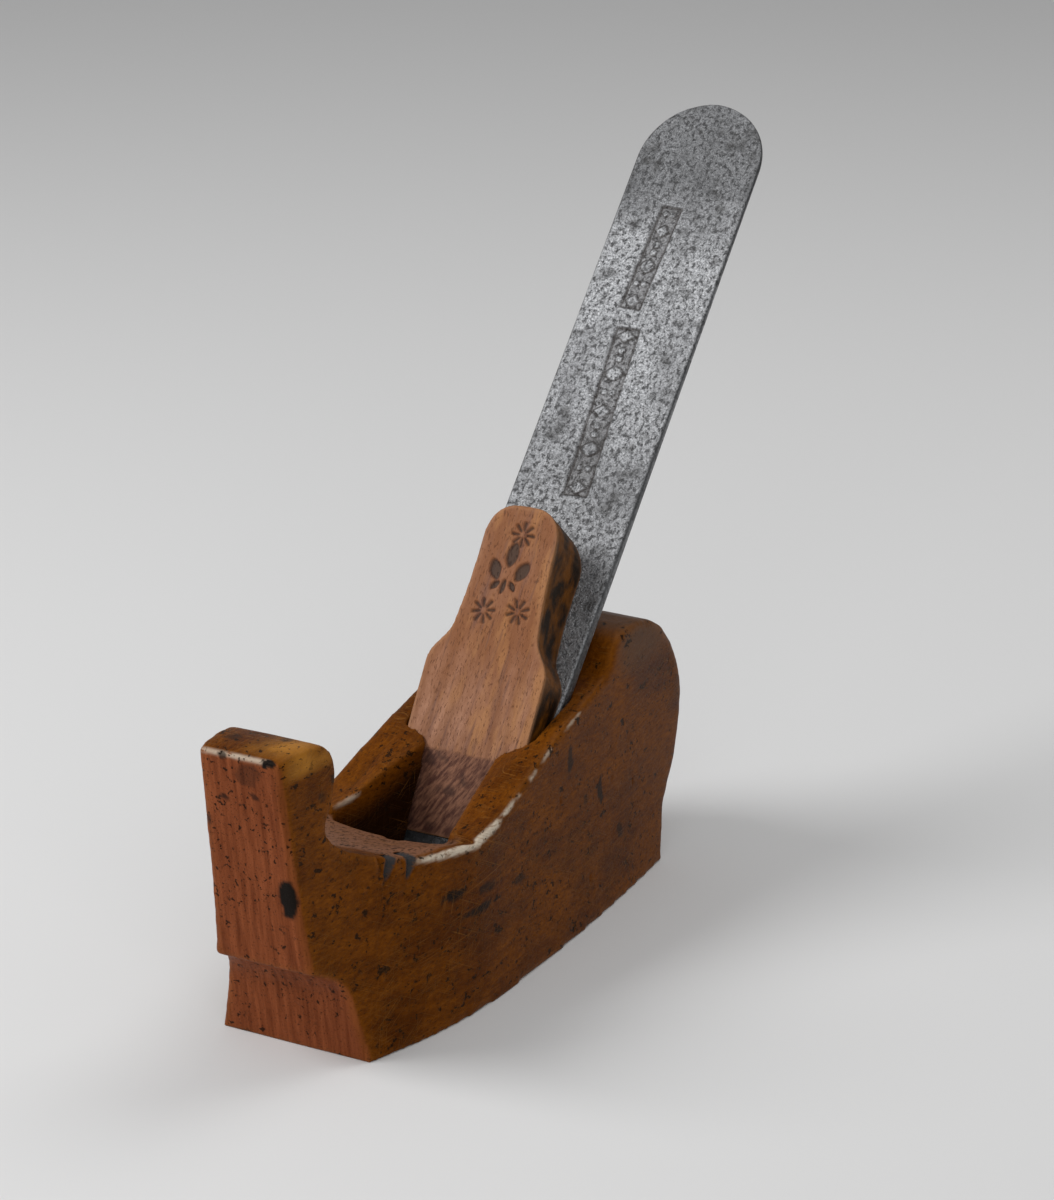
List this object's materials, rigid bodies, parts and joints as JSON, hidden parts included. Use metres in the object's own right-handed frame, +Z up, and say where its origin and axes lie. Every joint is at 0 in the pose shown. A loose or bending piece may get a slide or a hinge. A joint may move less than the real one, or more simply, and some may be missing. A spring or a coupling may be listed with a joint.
{
  "type": "violin makers plane",
  "caption": "Small wooden smoothing plane for instrument work, with a tall toe horn, a round-topped iron and a waisted wedge that lift out along the bed.",
  "frame": {"origin": "on the sole, at the middle of its length and width", "axes": "+X towards the toe and its horn, +Y to the plane's left side, +Z up"},
  "size_m": [0.1642, 0.0406, 0.1296],
  "materials": {
    "stock_wood": "old waxed fruitwood, worn",
    "iron_steel": "dull, finely pitted",
    "wedge_wood": "old waxed fruitwood, worn"
  },
  "bodies": {
    "stock": {"stock": "stock_wood"},
    "iron": {"iron": "iron_steel"},
    "wedge": {"wedge": "wedge_wood"}
  },
  "joints": [
    {"name": "iron_slide", "type": "slide", "parent": "stock", "child": "iron", "axis": [-0.6606, 0, 0.7508], "range_m": [-0.0003, 0.064]},
    {"name": "wedge_slide", "type": "slide", "parent": "iron", "child": "wedge", "axis": [-0.6699, 0, 0.7424], "range_m": [0, 0.035]}
  ]
}
